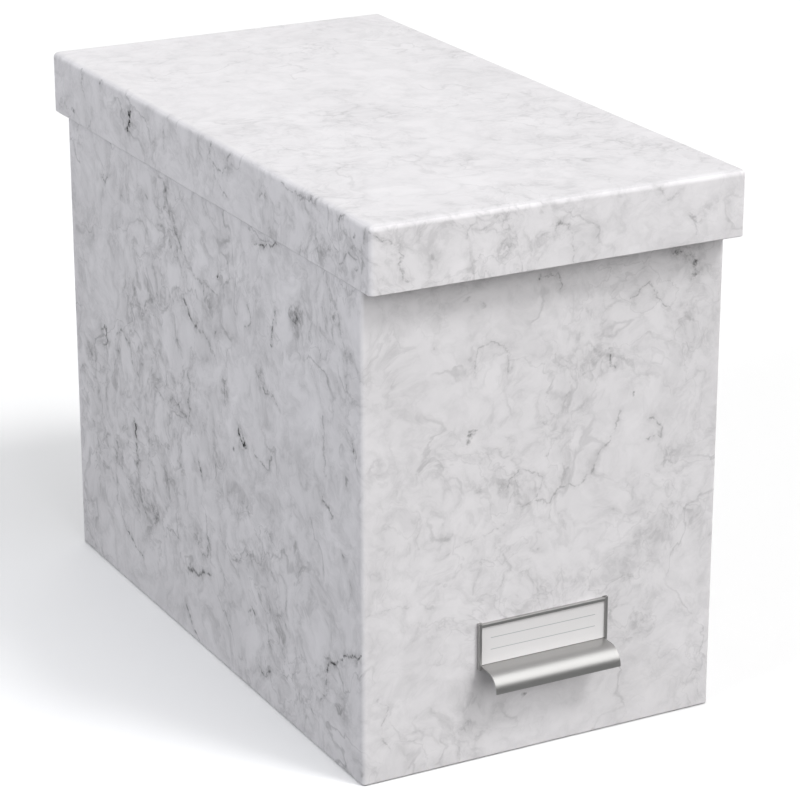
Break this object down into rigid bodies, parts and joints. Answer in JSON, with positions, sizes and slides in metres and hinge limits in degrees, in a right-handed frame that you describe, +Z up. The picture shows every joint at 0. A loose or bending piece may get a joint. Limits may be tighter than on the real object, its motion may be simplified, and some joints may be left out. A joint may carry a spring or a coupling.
{
  "type": "file box",
  "caption": "Tall board desk box wrapped in marble-patterned paper, for hanging files, with a lift-off lid and a metal label holder with a rolled pull on the front.",
  "frame": {"origin": "centre of the body's underside, on the surface it stands on", "axes": "+Z up, +Y along the length towards the back, so the label holder faces -Y, +X across the width"},
  "size_m": [0.1878, 0.3534, 0.2653],
  "materials": {
    "wrap_paper": "matt printed paper, grey marble pattern",
    "lid_paper": "matt printed paper, grey marble pattern",
    "satin_metal": "satin",
    "card": "smooth uncoated card",
    "rivet_steel": "plain",
    "rail_steel": "zinc plated"
  },
  "bodies": {
    "box": {"box_body": "wrap_paper", "label_holder": "satin_metal", "label_card": "card", "rivet_left": "rivet_steel", "rivet_right": "rivet_steel", "front_rail": "rail_steel", "rear_rail": "rail_steel"},
    "lid": {"lid": "lid_paper"}
  },
  "joints": [
    {"name": "lid_lift", "type": "slide", "parent": "box", "child": "lid", "axis": [0, 0, 1], "range_m": [0, 0.08]}
  ]
}
